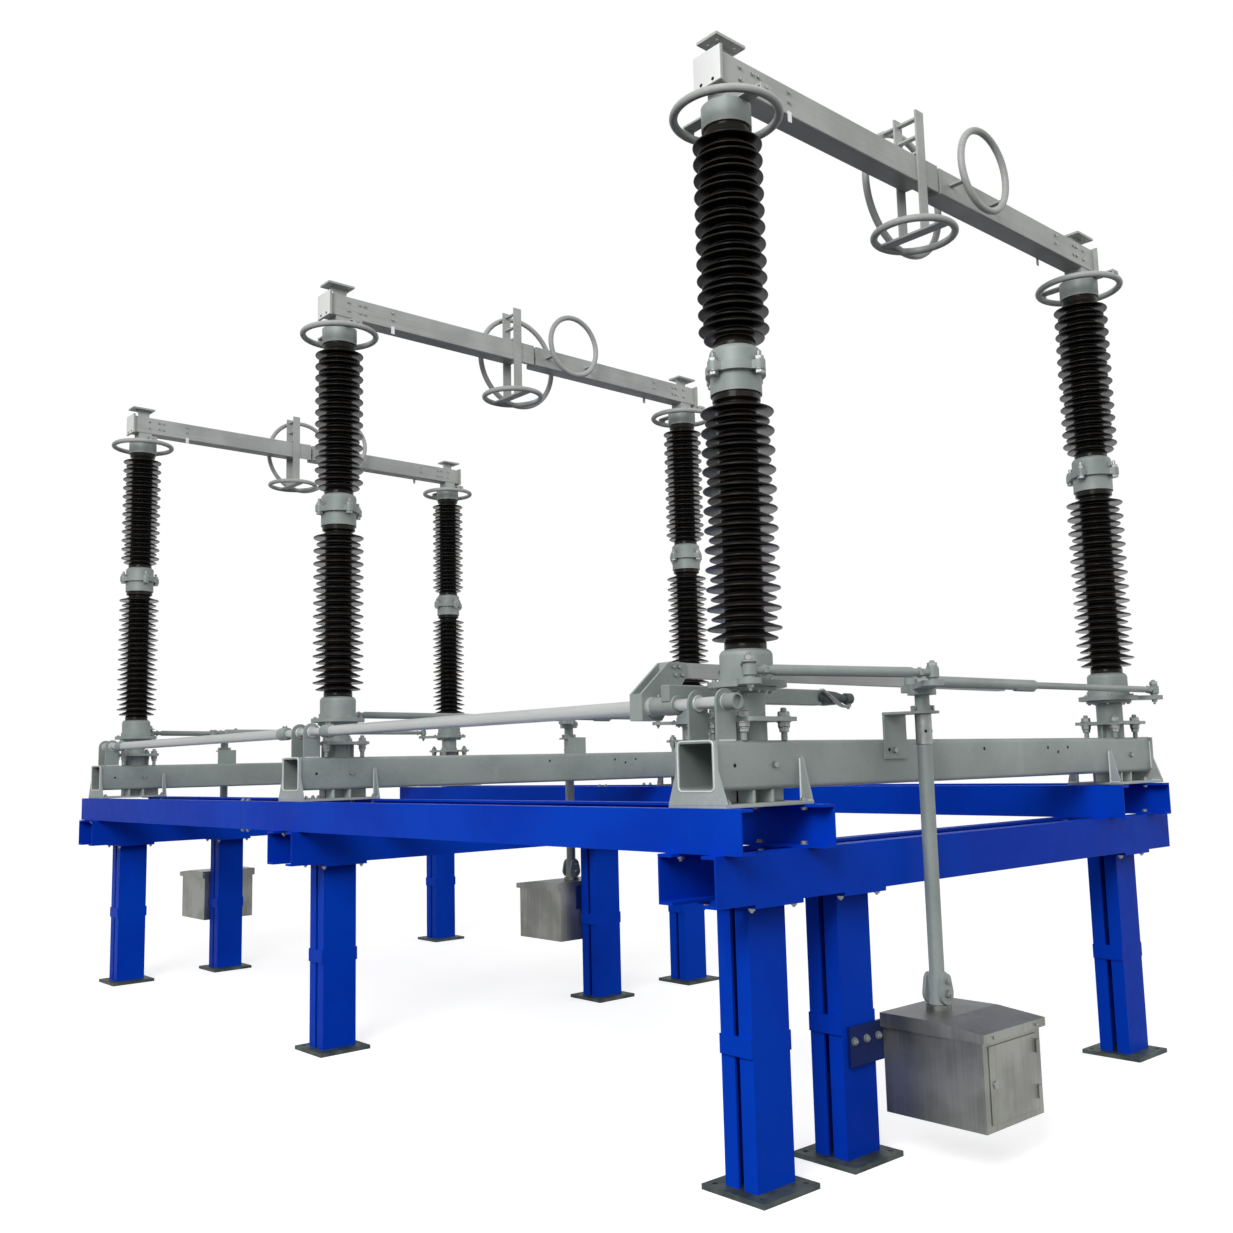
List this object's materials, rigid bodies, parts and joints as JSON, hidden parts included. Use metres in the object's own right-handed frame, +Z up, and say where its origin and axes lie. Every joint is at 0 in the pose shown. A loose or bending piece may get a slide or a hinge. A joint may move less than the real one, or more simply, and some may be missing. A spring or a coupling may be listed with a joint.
{
  "type": "high-voltage centre-break disconnect switch",
  "caption": "Three-pole centre-break disconnector: rotating insulator columns with contact arms on base tubes, link rods, motor drive boxes and a blue channel-steel support frame.",
  "frame": {"origin": "centre of the support frame's footprint at floor level", "axes": "+Z up, +X along each pole from its near column to its far one, +Y along the row of poles"},
  "size_m": [3.48, 7.395, 4.5755],
  "materials": {
    "frame_blue": "satin blue paint",
    "foot_steel": "bare dark steel",
    "galvanised": "hot-dip galvanised",
    "casting": "galvanised casting",
    "porcelain": "dark brown glaze",
    "aluminium": "mill finish",
    "box_sheet": "brushed stainless sheet",
    "box_bracket": "satin blue paint"
  },
  "bodies": {
    "frame": {"foot_plates": "foot_steel", "rail_front": "frame_blue", "rail_rear": "frame_blue", "bearing_housings": "galvanised", "shaft_brackets": "galvanised", "drive_boxes": "box_sheet", "drive_box_lids": "box_sheet", "drive_box_brackets": "box_bracket", "earth_bearing_plates": "galvanised", "legs_1": "frame_blue", "cross_beam_1": "frame_blue", "base_beam_1": "galvanised", "legs_2": "frame_blue", "cross_beam_2": "frame_blue", "base_beam_2": "galvanised", "legs_3": "frame_blue", "cross_beam_3": "frame_blue", "base_beam_3": "galvanised"},
    "column_a1": {"fittings_a1": "casting", "porcelain_a1": "porcelain", "arm_a1": "aluminium", "rings_a1": "aluminium"},
    "column_b1": {"fittings_b1": "casting", "porcelain_b1": "porcelain", "arm_b1": "aluminium", "rings_b1": "aluminium"},
    "shaft_1": {"drive_shaft_1": "galvanised"},
    "rod_a1": {"link_rod_a1": "galvanised"},
    "rod_b1": {"link_rod_b1": "galvanised"},
    "column_a2": {"fittings_a2": "casting", "porcelain_a2": "porcelain", "arm_a2": "aluminium", "rings_a2": "aluminium"},
    "column_b2": {"fittings_b2": "casting", "porcelain_b2": "porcelain", "arm_b2": "aluminium", "rings_b2": "aluminium"},
    "shaft_2": {"drive_shaft_2": "galvanised"},
    "rod_a2": {"link_rod_a2": "galvanised"},
    "rod_b2": {"link_rod_b2": "galvanised"},
    "column_a3": {"fittings_a3": "casting", "porcelain_a3": "porcelain", "arm_a3": "aluminium", "rings_a3": "aluminium"},
    "column_b3": {"fittings_b3": "casting", "porcelain_b3": "porcelain", "arm_b3": "aluminium", "rings_b3": "aluminium"},
    "shaft_3": {"drive_shaft_3": "galvanised"},
    "rod_a3": {"link_rod_a3": "galvanised"},
    "rod_b3": {"link_rod_b3": "galvanised"},
    "earth_switch": {"earth_shaft": "galvanised", "earth_arm": "galvanised", "earth_blade": "aluminium"}
  },
  "joints": [
    {"name": "pole_1_opening", "type": "hinge", "parent": "frame", "child": "column_a1", "pos_m": [-1.388, -3.15, 1.6], "axis": [0, 0, 1], "range_deg": [0, 90]},
    {"name": "column_b1_turn", "type": "hinge", "parent": "frame", "child": "column_b1", "pos_m": [1.468, -3.15, 1.6], "axis": [0, 0, 1], "range_deg": [-90, 0]},
    {"name": "shaft_1_turn", "type": "hinge", "parent": "frame", "child": "shaft_1", "pos_m": [-0.568, -3.3655, 1.6], "axis": [0, 0, 1], "range_deg": [0, 90]},
    {"name": "rod_a1_pivot", "type": "hinge", "parent": "column_a1", "child": "rod_a1", "pos_m": [-1.55771, -3.31971, 1.8205], "axis": [0, 0, 1], "range_deg": [-90, 0]},
    {"name": "rod_b1_pivot", "type": "hinge", "parent": "column_b1", "child": "rod_b1", "pos_m": [1.63771, -3.31971, 1.8205], "axis": [0, 0, 1], "range_deg": [0, 90]},
    {"name": "pole_2_opening", "type": "hinge", "parent": "frame", "child": "column_a2", "pos_m": [-1.388, 0, 1.6], "axis": [0, 0, 1], "range_deg": [0, 90]},
    {"name": "column_b2_turn", "type": "hinge", "parent": "frame", "child": "column_b2", "pos_m": [1.468, 0, 1.6], "axis": [0, 0, 1], "range_deg": [-90, 0]},
    {"name": "shaft_2_turn", "type": "hinge", "parent": "frame", "child": "shaft_2", "pos_m": [0.492, 0.2155, 1.6], "axis": [0, 0, 1], "range_deg": [0, 90]},
    {"name": "rod_a2_pivot", "type": "hinge", "parent": "column_a2", "child": "rod_a2", "pos_m": [-1.21829, 0.16971, 1.8205], "axis": [0, 0, 1], "range_deg": [-90, 0]},
    {"name": "rod_b2_pivot", "type": "hinge", "parent": "column_b2", "child": "rod_b2", "pos_m": [1.29829, 0.16971, 1.8205], "axis": [0, 0, 1], "range_deg": [0, 90]},
    {"name": "pole_3_opening", "type": "hinge", "parent": "frame", "child": "column_a3", "pos_m": [-1.388, 3.15, 1.6], "axis": [0, 0, 1], "range_deg": [0, 90]},
    {"name": "column_b3_turn", "type": "hinge", "parent": "frame", "child": "column_b3", "pos_m": [1.468, 3.15, 1.6], "axis": [0, 0, 1], "range_deg": [-90, 0]},
    {"name": "shaft_3_turn", "type": "hinge", "parent": "frame", "child": "shaft_3", "pos_m": [-0.588, 3.3655, 1.6], "axis": [0, 0, 1], "range_deg": [0, 90]},
    {"name": "rod_a3_pivot", "type": "hinge", "parent": "column_a3", "child": "rod_a3", "pos_m": [-1.21829, 3.31971, 1.8205], "axis": [0, 0, 1], "range_deg": [-90, 0]},
    {"name": "rod_b3_pivot", "type": "hinge", "parent": "column_b3", "child": "rod_b3", "pos_m": [1.29829, 3.31971, 1.8205], "axis": [0, 0, 1], "range_deg": [0, 90]},
    {"name": "earth_switch_swing", "type": "hinge", "parent": "frame", "child": "earth_switch", "pos_m": [-1.587, -3.15, 1.74], "axis": [0, -1, 0], "range_deg": [0, 90]}
  ],
  "couplings": [
    {"joint": "column_b1_turn", "follows": "pole_1_opening", "ratio": -1},
    {"joint": "shaft_1_turn", "follows": "pole_1_opening", "ratio": 1},
    {"joint": "rod_a1_pivot", "follows": "pole_1_opening", "ratio": -1},
    {"joint": "rod_b1_pivot", "follows": "pole_1_opening", "ratio": 1},
    {"joint": "column_b2_turn", "follows": "pole_2_opening", "ratio": -1},
    {"joint": "shaft_2_turn", "follows": "pole_2_opening", "ratio": 1},
    {"joint": "rod_a2_pivot", "follows": "pole_2_opening", "ratio": -1},
    {"joint": "rod_b2_pivot", "follows": "pole_2_opening", "ratio": 1},
    {"joint": "column_b3_turn", "follows": "pole_3_opening", "ratio": -1},
    {"joint": "shaft_3_turn", "follows": "pole_3_opening", "ratio": 1},
    {"joint": "rod_a3_pivot", "follows": "pole_3_opening", "ratio": -1},
    {"joint": "rod_b3_pivot", "follows": "pole_3_opening", "ratio": 1}
  ]
}
